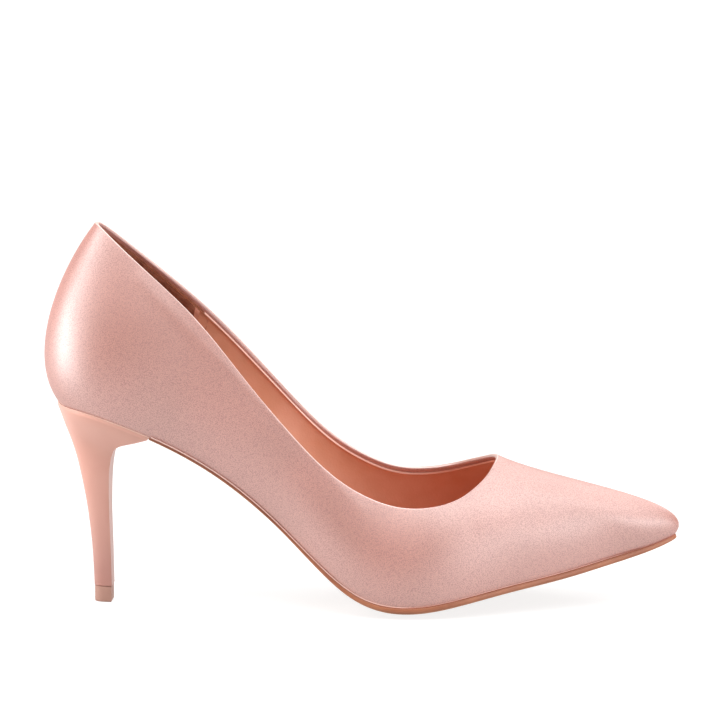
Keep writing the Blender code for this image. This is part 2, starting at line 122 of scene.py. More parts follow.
# Feather line, where the upper meets the sole. along: share of the length from the back. lateral,
# medial: distances from the axis. climb: height above the ball. arch: share of the arch's lift.
FEATHER = table("place along lateral medial climb arch", [
    ("back of the seat", 0.025, 0, 0, SEAT_CLIMB, 0.0),
    ("seat corner", 0.042, 0.29 * SEAT_WIDTH, 0.29 * SEAT_WIDTH, 0.990 * SEAT_CLIMB, 0.0),
    ("seat side", 0.072, 0.43 * SEAT_WIDTH, 0.43 * SEAT_WIDTH, 0.975 * SEAT_CLIMB, 0.0),
    ("seat", 0.118, 0.50 * SEAT_WIDTH, 0.50 * SEAT_WIDTH, 0.930 * SEAT_CLIMB, 0.0),
    ("heel breast", 0.186, 0.49 * SEAT_WIDTH, 0.47 * SEAT_WIDTH, 0.834 * SEAT_CLIMB, 0.3),
    ("rear waist", 0.279, 0.53 * WAIST_WIDTH, 0.49 * WAIST_WIDTH, 0.654 * SEAT_CLIMB, 0.8),
    ("waist", 0.368, 0.55 * WAIST_WIDTH, 0.45 * WAIST_WIDTH, 0.410 * SEAT_CLIMB, 1.0),
    ("front waist", 0.444, 0.39 * BALL_WIDTH, 0.31 * BALL_WIDTH, 0.172 * SEAT_CLIMB, 0.7),
    ("rear ball", 0.512, 0.47 * BALL_WIDTH, 0.40 * BALL_WIDTH, 0.027 * SEAT_CLIMB, 0.2),
    ("ball", 0.580, 0.50 * BALL_WIDTH, 0.475 * BALL_WIDTH, 0.0, 0.0),
    ("front ball", 0.652, 0.46 * BALL_WIDTH, 0.495 * BALL_WIDTH, 0.125 * TOE_CLIMB, 0.0),
    ("toe root", 0.728, 0.355 * BALL_WIDTH, 0.435 * BALL_WIDTH, 0.295 * TOE_CLIMB, 0.0),
    ("mid toe", 0.821, 0.225 * BALL_WIDTH, 0.325 * BALL_WIDTH, 0.485 * TOE_CLIMB, 0.0),
    ("toe side", 0.910, 0.095 * BALL_WIDTH, 0.205 * BALL_WIDTH, 0.722 * TOE_CLIMB, 0.0),
    ("toe corner", 0.969, 0.012 * BALL_WIDTH, 0.125 * BALL_WIDTH, 0.90 * TOE_CLIMB, 0.0),
    ("toe tip", 0.994, -TOE_INSET, TOE_INSET, TOE_CLIMB, 0.0),
])

# Topline, the edge of the opening. width: share of the collar's width, to each side. climb: height
# above the ball's feather line. lift: share of the medial side's lift.
TOPLINE = table("place along width climb lift", [
    ("back", 0.086, 0.000, FEATHER[0].climb + BACK_HEIGHT, 0.0),
    ("back corner", 0.098, 0.117, FEATHER[1].climb + 0.984 * BACK_HEIGHT, 0.0),
    ("counter", 0.131, 0.212, FEATHER[2].climb + 0.899 * BACK_HEIGHT, 0.0),
    ("rear quarter", 0.178, 0.281, FEATHER[3].climb + 0.801 * BACK_HEIGHT, 0.03),
    ("quarter", 0.241, 0.352, FEATHER[4].climb + 0.693 * BACK_HEIGHT, 0.17),
    ("front quarter", 0.317, 0.414, FEATHER[5].climb + 1.035 * SIDE_HEIGHT, 0.75),
    ("rear side", 0.387, 0.459, FEATHER[6].climb + 0.970 * SIDE_HEIGHT, 0.97),
    ("side", 0.453, 0.488, FEATHER[7].climb + 1.010 * SIDE_HEIGHT, 1.0),
    ("front side", 0.510, 0.500, 0.788 * THROAT_HEIGHT, 1.0),
    ("low side", 0.558, 0.505, 0.716 * THROAT_HEIGHT, 0.93),
    ("rear throat", 0.605, 0.488, 0.710 * THROAT_HEIGHT, 0.92),
    ("throat side", 0.643, 0.431, 0.745 * THROAT_HEIGHT, 0.93),
    ("throat bend", 0.672, 0.341, 0.809 * THROAT_HEIGHT, 0.80),
    ("throat corner", 0.695, 0.224, 0.888 * THROAT_HEIGHT, 0.53),
    ("throat front", 0.708, 0.109, 0.956 * THROAT_HEIGHT, 0.22),
    ("throat", 0.713, 0.000, 0.988 * THROAT_HEIGHT, 0.0),
])

# How the wall leaves the feather line (low) and reaches the topline (high). Each is a handle of the
# wall's curve: forward, sideways away from the axis, and up, as shares of the wall's own reach.
WALL_CURVE = table("place low_ahead low_aside low_up high_ahead high_aside high_up", [
    ("back", -0.181, 0.000, 0.245, -0.206, 0.000, -0.258),
    ("back corner", -0.125, 0.100, 0.250, -0.130, 0.125, -0.265),
    ("counter", -0.055, 0.130, 0.280, -0.060, 0.146, -0.290),
    ("rear quarter", 0.000, 0.110, 0.305, 0.000, 0.153, -0.305),
    ("quarter", 0.040, 0.115, 0.315, -0.040, 0.105, -0.315),
    ("front quarter", 0.050, 0.160, 0.315, -0.050, 0.090, -0.315),
    ("rear side", 0.030, 0.185, 0.310, -0.030, 0.085, -0.340),
    ("side", 0.000, 0.160, 0.300, 0.000, 0.110, -0.330),
    ("front side", 0.000, 0.117, 0.310, 0.000, 0.155, -0.310),
    ("low side", 0.000, 0.106, 0.330, 0.000, 0.185, -0.290),
    ("rear throat", 0.014, 0.110, 0.360, 0.050, 0.225, -0.265),
    ("throat side", 0.026, 0.108, 0.365, 0.150, 0.225, -0.220),
    ("throat bend", 0.040, 0.100, 0.330, 0.240, 0.165, -0.165),
    ("throat corner", 0.080, 0.100, 0.260, 0.280, 0.110, -0.145),
    ("throat front", 0.136, 0.075, 0.208, 0.262, 0.056, -0.144),
    ("throat", 0.159, 0.000, 0.190, 0.250, 0.000, -0.140),
])

# The underside along its middle. crown: how far the last hangs below its edges. depth: the outsole's
# thickness at its edge. belly: how much thicker its middle is. welt: how far its edge stands out.
UNDERSIDE = table("place along crown depth belly welt", [
    ("back", 0.025, 0.0, SOLE_END_THICKNESS, 0.0, 0.0),
    ("seat", 0.100, SEAT_CROWN, SOLE_END_THICKNESS, 0.0, 0.0),
    ("heel breast", 0.180, 0.6 * SEAT_CROWN, SOLE_END_THICKNESS, 0.0, 0.0),
    ("rear waist", 0.300, 0.45 * FORE_CROWN, 0.95 * SOLE_SHANK_THICKNESS, WAIST_BELLY, 0.0),
    ("waist", 0.380, 0.50 * FORE_CROWN, SOLE_SHANK_THICKNESS, WAIST_BELLY, 0.0),
    ("front waist", 0.420, 0.6 * FORE_CROWN, 0.6 * SOLE_THICKNESS, WAIST_BELLY, 0.2 * SOLE_WELT),
    ("rear ball", 0.545, 0.90 * FORE_CROWN, SOLE_THICKNESS, TREAD_BELLY, 0.93 * SOLE_WELT),
    ("ball", 0.580, FORE_CROWN, SOLE_THICKNESS, TREAD_BELLY, SOLE_WELT),
    ("front ball", 0.650, 0.83 * FORE_CROWN, SOLE_THICKNESS, 0.9 * TREAD_BELLY, SOLE_WELT),
    ("toe root", 0.800, 0.45 * FORE_CROWN, SOLE_THICKNESS, 0.4 * TREAD_BELLY, SOLE_WELT),
    ("toe side", 0.900, 0.22 * FORE_CROWN, SOLE_THICKNESS, 0.2 * TREAD_BELLY, SOLE_WELT),
    ("toe tip", 0.994, 0.0, SOLE_THICKNESS, 0.0, 0.3 * SOLE_WELT),
])

# Heel below its lip. The back and breast lines seen from the side run from the seat (share 0) to
# the shaft's foot (share 1) in length, and width is a share of the seat's added to the shaft's.
HEEL = table("place back_down back_in breast_down breast_in width", [
    ("seat", 0.000, 0.00, 0.000, 0.00, 1.00),
    ("lip", 0.035, 0.07, 0.030, 0.34, 0.86),
    ("funnel", 0.110, 0.21, 0.075, 0.78, 0.56),
    ("upper shaft", 0.210, 0.40, 0.140, 0.94, 0.31),
    ("shaft bend", 0.330, 0.58, 0.270, 1.03, 0.16),
    ("mid shaft", 0.550, 0.80, 0.500, 1.05, 0.06),
    ("low shaft", 0.780, 0.94, 0.760, 1.02, 0.02),
    ("foot", 1.000, 1.00, 1.000, 1.00, 0.00),
])

LAST_ROW = len(FEATHER) - 1
BREAST_ROW = 3.78
HEEL_STEPS_ROUND = 36
HEEL_STEPS_DOWN = 10
FRONT_CUT = 14

# Soft folds that lasting and handling leave in the satin. start and end: row of the tables and share
# of the wall's height. width and depth: in millimetres, a ridge where the depth is negative.
FOLDS = table("place side start end width depth", [
    ("ridge under the quarter's edge", -1, (2.6, 0.91), (7.8, 0.86), 2.8, -0.62),
    ("hollow below that ridge", -1, (3.4, 0.62), (7.0, 0.55), 9.0, 0.35),
    ("ridge at the arch", -1, (5.0, 0.30), (8.0, 0.40), 8.0, -0.20),
    ("pull at the throat's side", -1, (10.2, 0.93), (9.0, 0.55), 3.4, 0.20),
    ("pull beside it", -1, (11.4, 0.90), (10.6, 0.50), 3.2, 0.14),
    ("crease over the toes", -1, (11.6, 0.50), (13.0, 0.62), 3.0, 0.14),
    ("ridge under the inner edge", 1, (2.8, 0.90), (7.2, 0.82), 5.0, -0.24),
    ("hollow at the inner arch", 1, (4.2, 0.45), (7.4, 0.50), 9.0, 0.32),
    ("pull at the inner throat", 1, (10.4, 0.93), (9.2, 0.60), 3.2, 0.18),
    ("crease over the inner toes", 1, (11.4, 0.52), (13.0, 0.64), 3.0, 0.12),
])


# Curves and surfaces of the shoe


def closed_spline(knots, points):
    """A smooth closed curve through points, as a function of an array of knot values."""
    count = len(points)
    width = np.diff(knots)
    system = np.zeros((count, count))
    pull = np.zeros_like(points)
    for i in range(count):
        after = (i + 1) % count
        system[i, i - 1] += width[i - 1]
        system[i, i] += 2 * (width[i - 1] + width[i])
        system[i, after] += width[i]
        slope_after = (points[after] - points[i]) / width[i]
        slope_before = (points[i] - points[i - 1]) / width[i - 1]
        pull[i] = 6 * (slope_after - slope_before)
    bend = np.linalg.solve(system, pull)

    def at(values):
        values = np.asarray(values, float) % knots[-1]
        i = np.clip(np.searchsorted(knots, values, side="right") - 1, 0, count - 1)
        j = (i + 1) % count
        step = width[i][..., None]
        b = (values - knots[i])[..., None] / step
        a = 1 - b
        bow = (a**3 - a) * bend[i] + (b**3 - b) * bend[j]
        return a * points[i] + b * points[j] + bow * step**2 / 6

    return at


def row_points(side):
    """The four control points of the wall's curve at each row, on one side (-1 lateral, 1 medial)."""
    rows = []
    for feather, top, wall in zip(FEATHER, TOPLINE, WALL_CURVE):
        out = feather.lateral if side < 0 else feather.medial
        arch = 0 if side < 0 else feather.arch * ARCH_LIFT
        lift = 0 if side < 0 else top.lift * MEDIAL_LIFT
        low_height = BALL_LIFT + feather.climb + arch
        high_height = BALL_LIFT + top.climb + lift
        low = np.array([feather.along * SHOE_LENGTH, side * out, low_height])
        high = np.array([top.along * SHOE_LENGTH, side * top.width * COLLAR_WIDTH, high_height])
        reach = np.linalg.norm(high - low)
        low_handle = np.array([wall.low_ahead, side * wall.low_aside, wall.low_up])
        high_handle = np.array([wall.high_ahead, side * wall.high_aside, wall.high_up])
        rows.append([low, low + reach * low_handle, high + reach * high_handle, high])
    return rows


# The rows in order round the shoe: the lateral side from back to toe, then the medial one back
ROWS_ROUND = row_points(-1) + row_points(1)[-2:0:-1]
CONTROL_LOOPS = [np.array([row[k] for row in ROWS_ROUND]) for k in range(4)]
FEATHER_LOOP = CONTROL_LOOPS[0]
SPANS = np.linalg.norm(np.roll(FEATHER_LOOP, -1, axis=0) - FEATHER_LOOP, axis=1)
KNOTS = np.concatenate([[0], np.cumsum(SPANS)])
CONTROL_LINES = [closed_spline(KNOTS, loop) for loop in CONTROL_LOOPS]


def place_round(side, row):
    """A fractional row of the tables, on one side, counted on round the toe and back."""
    return row if side < 0 else 2 * LAST_ROW - row


def knot_of(side, row):
    """The splines' value at a fractional row of the tables, on one side."""
    return float(np.interp(place_round(side, row), range(len(KNOTS)), KNOTS))


def wall_points(values, up):
    """Points of the upper's outside: up runs from 0 at the feather line to 1 at the topline."""
    a, b, c, d = [line(values) for line in CONTROL_LINES]
    down = 1 - up
    return down**3 * a + 3 * down**2 * up * b + 3 * down * up**2 * c + up**3 * d


def feather_point(side, row, inset=0.0):
    """A point of the feather line, moved inwards in plan by inset."""
    value = knot_of(side, row)
    step = 0.5 * MM
    before, here, ahead = CONTROL_LINES[0]([value - step, value, value + step])
    along = ahead - before
    outwards = np.array([along[1], -along[0], 0]) / math.hypot(along[0], along[1])
    return here - inset * outwards


def underside(row, column):
    """A column of the underside's table at a fractional row of the feather table."""
    share = np.interp(row, range(len(FEATHER)), [feather.along for feather in FEATHER])
    values = [getattr(line, column) for line in UNDERSIDE]
    return float(np.interp(share, [line.along for line in UNDERSIDE], values))


def downwards(row):
    """The direction square to the last's bottom at a row, seen from the side."""
    reach = 0.25
    rear = max(row - reach, 0)
    front = min(row + reach, LAST_ROW)
    run = feather_point(-1, front) + feather_point(1, front)
    run = run - feather_point(-1, rear) - feather_point(1, rear)
    return np.array([run[2], 0, -run[0]]) / math.hypot(run[0], run[2])


def across(row, inset, drop, belly=0.0, steps=16):
    """Points across the last's bottom at a row, lateral to medial, lowered by drop, and more amid."""
    left = feather_point(-1, row, inset)
    right = feather_point(1, row, inset)
    down = downwards(row)
    t = np.linspace(0, 1, steps + 1)[:, None]
    sag = (underside(row, "crown") + belly) * 4 * t * (1 - t)
    return (1 - t) * left + t * right + (sag + drop) * down


# The upper's wall, measured along itself


def folded(points, normals):
    """The wall's outside pushed in or out along its soft folds."""
    push = np.zeros(points.shape[:2])
    for fold in FOLDS:
        ends = []
        for row, up in (fold.start, fold.end):
            ends.append(wall_points(np.array([knot_of(fold.side, row)]), up)[0])
        start, run = ends[0], ends[1] - ends[0]
        share = np.clip(((points - start) @ run) / (run @ run), 0, 1)
        away = np.linalg.norm(points - start - share[..., None] * run, axis=2)
        # A fold runs out towards its ends
        fade = np.sin(np.pi * np.clip(share, 0.04, 0.96)) ** 0.6
        push += fold.depth * MM * fade * np.exp(-((away / (fold.width * MM)) ** 2))
    return points - push[..., None] * normals


def normals_of(points):
    """Directions square to the wall, outwards, at a grid of points (heights by columns)."""
    around = np.roll(points, -1, axis=1) - np.roll(points, 1, axis=1)
    up = np.gradient(points, axis=0)
    square = np.cross(around, up)
    return square / np.linalg.norm(square, axis=2, keepdims=True)


def fine_wall():
    """The wall as a fine grid of heights by columns: points, normals and heights along the wall."""
    steps = np.arange(len(FEATHER_LOOP) * COLUMNS_A_ROW) / COLUMNS_A_ROW
    values = np.interp(steps, range(len(KNOTS)), KNOTS)
    points = np.array([wall_points(values, up) for up in np.linspace(0, 1, FINE_LEVELS)])
    lengths = np.linalg.norm(np.diff(points, axis=0), axis=2)
    heights = np.concatenate([np.zeros((1, points.shape[1])), np.cumsum(lengths, axis=0)])
    return points, normals_of(points), heights


PLAIN_POINTS, PLAIN_NORMALS, HEIGHTS = fine_wall()
FULL_HEIGHT = HEIGHTS[-1]
OUTER_POINTS = folded(PLAIN_POINTS, PLAIN_NORMALS)
OUTER_NORMALS = normals_of(OUTER_POINTS)
COLUMNS = PLAIN_POINTS.shape[1]


def column_of(side, row):
    """The nearest column of the fine wall to a fractional row of the tables."""
    return int(round(place_round(side, row) * COLUMNS_A_ROW)) % COLUMNS


def wall_ring(height, depth, beyond=0.0, outside=False):
    """A ring round the wall: height along the wall above the feather line (one value, or one for each
    column), depth under its outside, then beyond along the wall's upward direction."""
    points, normals = (OUTER_POINTS, OUTER_NORMALS) if outside else (PLAIN_POINTS, PLAIN_NORMALS)
    height = np.broadcast_to(height, (COLUMNS,))
    k = np.clip((HEIGHTS <= height).sum(axis=0) - 1, 0, len(HEIGHTS) - 2)
    column = np.arange(COLUMNS)
    span = HEIGHTS[k + 1, column] - HEIGHTS[k, column]
    t = ((height - HEIGHTS[k, column]) / span)[:, None]
    here = (1 - t) * points[k, column] + t * points[k + 1, column]
    square = (1 - t) * normals[k, column] + t * normals[k + 1, column]
    square /= np.linalg.norm(square, axis=1, keepdims=True)
    up = points[k + 1, column] - points[k, column]
    up /= np.linalg.norm(up, axis=1, keepdims=True)
    return here - depth * square + beyond * up


def wall_rings(first, last, count, depth, outside=False):
    """Rings round the wall at even steps from one height to another."""
    shares = np.linspace(0, 1, count)
    return [wall_ring(first + (last - first) * share, depth, outside=outside) for share in shares]


# Meshes


def placed(name, data):
    """A new object of the scene, which holds a mesh, a curve, a lamp or a camera."""
    made = bpy.data.objects.new(name, data)
    bpy.context.scene.collection.objects.link(made)
    return made


def finished(name, bm, materials):
    """Turns a mesh into a piece of the shoe that rides with it and takes its materials."""
    bmesh.ops.remove_doubles(bm, verts=bm.verts, dist=0.002 * MM)
    if bm.calc_volume(signed=True) < 0:
        bmesh.ops.reverse_faces(bm, faces=bm.faces)
    bmesh.ops.translate(bm, verts=bm.verts, vec=CENTRE)
    mesh = bpy.data.meshes.new(name)
    bm.to_mesh(mesh)
    bm.free()
    for material in materials:
        mesh.materials.append(material)
    mesh.shade_smooth()
    mesh.set_sharp_from_angle(angle=CORNER_ANGLE)
    piece = placed(name, mesh)
    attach(piece, "root")
    return piece


def add_rings(bm, rings, closed=False, cap_first=False, cap_last=False, paint=None):
    """Joins rings with quads. closed joins the last ring to the first, and paint gives the number of
    the material by ring and place on the ring."""
    loops = [[bm.verts.new(point) for point in ring] for ring in rings]
    pairs = list(zip(loops, loops[1:]))
    if closed:
        pairs.append((loops[-1], loops[0]))
    for k, (first, second) in enumerate(pairs):
        for i in range(len(first)):
            face = bm.faces.new((first[i - 1], first[i], second[i], second[i - 1]))
            if paint:
                face.material_index = paint(k, i)
    if cap_first:
        bm.faces.new(loops[0][::-1])
    if cap_last:
        bm.faces.new(loops[-1])


def add_sheet(bm, rows):
    """Joins rows of equal count into an open sheet of quads."""
    grid = [[bm.verts.new(point) for point in row] for row in rows]
    for first, second in zip(grid, grid[1:]):
        for i in range(1, len(first)):
            bm.faces.new((first[i - 1], first[i], second[i], second[i - 1]))


def ringed(name, rings, materials, slot, **joins):
    """A finished piece made of rings that are joined with quads."""
    bm = bmesh.new()
    add_rings(bm, rings, **joins)
    return finished(name, bm, materials)


# Finishes

# Sockets of a colour mix node, and the length between a diagonal wave's bands at a scale of 1
MIX_FIRST, MIX_SECOND, MIX_RESULT = 6, 7, 2
DIAGONAL_WAVE = 0.3628


def linear(colour):
    """An sRGB colour, six hex digits, as the linear values that a shader takes."""
    values = [int(colour[i : i + 2], 16) / 255 for i in (0, 2, 4)]
    return (*[((v + 0.055) / 1.055) ** 2.4 if v > 0.04045 else v / 12.92 for v in values], 1.0)


def each(millimetres):
    """A texture's scale for one repeat in so many millimetres."""
    return 1 / (millimetres * MM)


def add_node(tree, kind, inputs=None, **settings):
    """Adds a node with its settings, and feeds its inputs from values or from other nodes' outputs."""
    made = tree.nodes.new(kind)
    for name, value in settings.items():
        setattr(made, name, value)
    for key, value in (inputs or {}).items():
        if isinstance(value, bpy.types.NodeSocket):
            tree.links.new(value, made.inputs[key])
        else:
            made.inputs[key].default_value = value
    return made


def new_finish(name, roughness, ior=1.5):
    """A material, its nodes, its shader with what is the same all over, and a place on the piece."""
    material = bpy.data.materials.new(name)
    material.use_nodes = True
    shader = material.node_tree.nodes["Principled BSDF"]
    shader.inputs["Roughness"].default_value = roughness
    shader.inputs["IOR"].default_value = ior
    place = add_node(material.node_tree, "ShaderNodeTexCoord").outputs["Object"]
    return material, material.node_tree, shader, place


def patchy(tree, place, low, high, size, detail):
    """A colour that drifts between two sRGB colours in soft patches, and the patches that it follows."""
    noise = {"Vector": place, "Scale": each(size), "Detail": detail}
    patches = add_node(tree, "ShaderNodeTexNoise", noise).outputs["Fac"]
    spread = {"Value": patches, "From Min": 0.35, "From Max": 0.65}
    share = add_node(tree, "ShaderNodeMapRange", spread).outputs["Result"]
    colours = {0: share, MIX_FIRST: linear(low), MIX_SECOND: linear(high)}
    mix = add_node(tree, "ShaderNodeMix", colours, data_type="RGBA")
    return mix.outputs[MIX_RESULT], patches


def tinted(tree, colour, share, tint):
    """A colour multiplied by an sRGB tint, which fades out as share goes from 0 to 1."""
    fading = {0: share, MIX_FIRST: linear(tint), MIX_SECOND: linear("FFFFFF")}
    fade = add_node(tree, "ShaderNodeMix", fading, data_type="RGBA")
    both = {0: 1.0, MIX_FIRST: colour, MIX_SECOND: fade.outputs[MIX_RESULT]}
    mix = add_node(tree, "ShaderNodeMix", both, data_type="RGBA", blend_type="MULTIPLY")
    return mix.outputs[MIX_RESULT]


def surfaced(tree, shader, colour, relief, depth, strength):
    """Gives a shader its colour and a relief, whose depth is in millimetres."""
    tree.links.new(colour, shader.inputs["Base Color"])
    inputs = {"Strength": strength, "Distance": depth * MM, "Height": relief}
    bump = add_node(tree, "ShaderNodeBump", inputs)
    tree.links.new(bump.outputs["Normal"], shader.inputs["Normal"])


def satin_finish(name, low, high, fleck_low, rough_low, rough_high):
    """Duchess satin of dyed polyester, woven: long floats lie side by side, so the light spreads in a
    broad silky band over them, and the weave shows only as a fine grain."""
    # The floats gleam more than polyester's own IOR of about 1.6 gives
    material, tree, shader, place = new_finish(name, rough_high, ior=2.15)
    cloth, _ = patchy(tree, place, low, high, size=28, detail=2.0)
    # Threads are about 0.1 mm thick, and their pebbled grain is drawn at 0.3 mm so that it shows
    warp = add_node(tree, "ShaderNodeMapping", {"Vector": place, "Scale": (0.8, 1.0, 1.0)})
    pebbles = {"Vector": warp.outputs["Vector"], "Scale": each(0.3), "Randomness": 1.0}
    pebble = add_node(tree, "ShaderNodeTexVoronoi", pebbles, feature="F1").outputs["Distance"]
    crowns = {"Value": pebble, "From Min": 0.1, "From Max": 0.75, "To Min": 1, "To Max": 0}
    thread = add_node(tree, "ShaderNodeMapRange", crowns).outputs["Result"]
    shine = {"Value": thread, "To Min": rough_high, "To Max": rough_low}
    rough = add_node(tree, "ShaderNodeMapRange", shine).outputs["Result"]
    tree.links.new(rough, shader.inputs["Roughness"])
    # The twill's faint diagonal lies about 1 mm from line to line
    lines = {
        "Vector": place,
        "Scale": DIAGONAL_WAVE * each(1.04),
        "Distortion": 2.5,
        "Detail": 1.0,
        "Detail Scale": 0.8,
    }
    twill = add_node(tree, "ShaderNodeTexWave", lines, bands_direction="DIAGONAL").outputs["Fac"]
    relief = {0: twill, 1: 0.15, 2: thread}
    weave = add_node(tree, "ShaderNodeMath", relief, operation="MULTIPLY_ADD").outputs["Value"]
    colour = tinted(tree, cloth, thread, fleck_low)
    surfaced(tree, shader, colour, weave, depth=0.05, strength=0.3)
    shader.inputs["Specular IOR Level"].default_value = 1.0
    shader.inputs["Sheen Weight"].default_value = 0.1
    shader.inputs["Sheen Roughness"].default_value = 0.35
    shader.inputs["Sheen Tint"].default_value = linear("FBE6DE")
    return material


def leather_finish(name, low, high, roughness, pore, depth, patch=14):
    """Smooth leather with a fine pore, a little darker and duller in patches."""
    material, tree, shader, place = new_finish(name, roughness)
    colour, patches = patchy(tree, place, low, high, size=patch, detail=3.0)
    pores = {"Vector": place, "Scale": each(pore), "Randomness": 1.0}
    grain = add_node(tree, "ShaderNodeTexVoronoi", pores, feature="SMOOTH_F1").outputs["Distance"]
    surfaced(tree, shader, colour, grain, depth, strength=0.4)
    dull = {
        "Value": patches,
        "From Min": 0.3,
        "From Max": 0.7,
        "To Min": roughness - 0.05,
        "To Max": roughness + 0.07,
    }
    rough = add_node(tree, "ShaderNodeMapRange", dull).outputs["Result"]
    tree.links.new(rough, shader.inputs["Roughness"])
    return material


def suede_finish():
    """Split suede of the heel grip, buffed: short nap, mottled where it was stroked."""
    material, tree, shader, place = new_finish("brown_split_suede_buffed", 0.9)
    colour, _ = patchy(tree, place, "783C26", "985A42", size=3.2, detail=4.0)
    nap = {"Vector": place, "Scale": each(0.5), "Detail": 2.0}
    relief = add_node(tree, "ShaderNodeTexNoise", nap).outputs["Fac"]
    surfaced(tree, shader, colour, relief, depth=0.2, strength=0.6)
    return material


def lacquer_finish(name, low, high, roughness, coat, shaded_foot_tint="FFFFFF"):
    """Lacquer sprayed over the moulded ABS heel: faint cloudiness, a soft reflection, and painted shade
    that darkens it towards the foot. Without coat and painted shade it also serves for the moulded lift
    and the spun thread."""
    material, tree, shader, place = new_finish(name, roughness)
    colour, _ = patchy(tree, place, low, high, size=18, detail=2.0)
    # Painted shade: the colour is darkened by a tint towards the heel's foot and fades to none under its
    # seat
    height = add_node(tree, "ShaderNodeSeparateXYZ", {"Vector": place}).outputs["Z"]
    span = {"Value": height, "From Min": HEEL_SHADE_FOOT, "From Max": HEEL_SHADE_TOP}
    share = add_node(tree, "ShaderNodeMapRange", span).outputs["Result"]
    peel = {"Vector": place, "Scale": each(1.6), "Detail": 1.0}
    relief = add_node(tree, "ShaderNodeTexNoise", peel).outputs["Fac"]
    foot_shaded = tinted(tree, colour, share, shaded_foot_tint)
    surfaced(tree, shader, foot_shaded, relief, depth=0.05, strength=0.12)
    shader.inputs["Coat Weight"].default_value = coat
    shader.inputs["Coat Roughness"].default_value = 0.15
    return material


# The upper's cloth: a dull rosy face; paler copies as painted highlight along the fold over the topline
# and along the fold at the waist; and a deeper pink copy as painted shade where it turns in on the
# lining's side
SATIN = satin_finish("rose_duchess_satin_woven", "D08B77", "DC9582", "BE9086", 0.44, 0.56)
HIGHLIT_FOLD_SATIN = satin_finish("rose_satin_edge_painted_highlight", "EAC5B9", "F2D3C8", "F2DDD7", 0.32, 0.4)
SHADED_TURNED_SATIN = satin_finish("rose_satin_turned_in_painted_shade", "BE7563", "CA8471", "CFA096", 0.5, 0.6)
HIGHLIT_FEATHER_FOLD = satin_finish("rose_satin_feather_fold_painted_highlight", "EDC0B0", "F4CCBE", "F4DFD8", 0.36, 0.44)
# The inside: coated leather with a fine pore and little shine, pale and raw where it is cut, with that
# cut edge painted paler still as a highlight, and brown napped suede at the back, thinned at its ends
LINING = leather_finish("salmon_lining_leather_coated", "D79678", "E0A287", 0.5, 0.7, 0.1)
LINING_EDGE_AND_HIGHLIGHT = leather_finish("pale_lining_cut_edge_and_painted_highlight", "F4C4B2", "FAD3C4", 0.6, 0.5, 0.04)
SOCK = leather_finish("salmon_sock_leather_coated", "E19B82", "E9A78F", 0.55, 0.8, 0.06)
SUEDE = suede_finish()
SKIVED = leather_finish("salmon_grip_edge_skived", "C48069", "D08E77", 0.7, 0.6, 0.05, 5)
THREAD = lacquer_finish("salmon_thread_spun", "C07A62", "CE8B72", 0.7, 0.0)
# The sole: rolled leather with a low polish, and ink that darkens and smooths its edge and its seam
SOLE = leather_finish("tan_sole_leather_rolled", "CB9470", "D6A27E", 0.45, 0.6, 0.05, 22)
SOLE_EDGE = leather_finish("tan_sole_edge_inked", "A86649", "B87656", 0.38, 0.5, 0.04, 9)
SEAM = leather_finish("brown_feather_seam_inked", "A8644D", "B4705A", 0.6, 0.5, 0.03)
# The heel: lacquer with a soft gloss, darkened towards its foot as painted shade, a matt pale edge where
# its cover ends, partly a painted highlight, and a dull moulded lift
LACQUER = lacquer_finish("nude_heel_lacquer_sprayed", "EDAD9B", "F2B6A4", 0.42, 0.15, "D2CCCF")
# The cover's edge: partly its own pale colour, partly a painted highlight along the heel's top
COVER_EDGE_AND_HIGHLIGHT = lacquer_finish("pale_heel_cover_edge_and_painted_highlight", "ECC0AE", "F3CCBC", 0.45, 0.0)
LIFT_RUBBER = lacquer_finish("nude_lift_polyurethane_moulded", "BC8D7D", "C49788", 0.5, 0.0)


# Pieces


def make_satin():
    """The satin, folded over the topline to the inside and drawn under at the sole."""
    fold_start = FULL_HEIGHT - FOLD_RADIUS
    rings = wall_rings(HEM_START, fold_start, LEVELS_UP + 1, 0, outside=True)
    for angle in np.radians([10, 25, 45, 65, 90, 115, 135, 155, 170]):
        across_wall = math.copysign(abs(math.cos(angle)) ** FOLD_SQUARENESS, math.cos(angle))
        rise = math.sin(angle) ** FOLD_SQUARENESS
        rings.append(
            wall_ring(fold_start, FOLD_RADIUS * (1 - across_wall), FOLD_RADIUS * rise, outside=True)
        )
    rings += wall_rings(fold_start, fold_start - FOLD_RETURN, 3, WALL)
    rings.append(wall_ring(fold_start - FOLD_RETURN - 0.3 * MM, SATIN_DEPTH + 0.2 * MM))
    rings += wall_rings(fold_start - FOLD_RETURN - 0.6 * MM, HEM_START, 13, SATIN_DEPTH)
    for angle in np.radians([150, 120, 90, 60, 30]):
        depth = 0.5 * SATIN_DEPTH * (1 - math.cos(angle))
        rings.append(wall_ring(HEM_START, depth, -HEM_DROP * math.sin(angle)))
    # Bands of rings along the fold's crown, painted paler as a highlight, and over what is turned to the
    # inside, painted deeper pink as shade
    crown = range(LEVELS_UP + 2, LEVELS_UP + 6)
    inside = range(LEVELS_UP + 7, LEVELS_UP + 14)

    def paint(k, i):
        return 1 if k in crown else 2 if k in inside else 0

    materials = [SATIN, HIGHLIT_FOLD_SATIN, SHADED_TURNED_SATIN]
    piece = ringed("satin_upper", rings, materials, "satin", closed=True, paint=paint)
    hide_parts("upper")


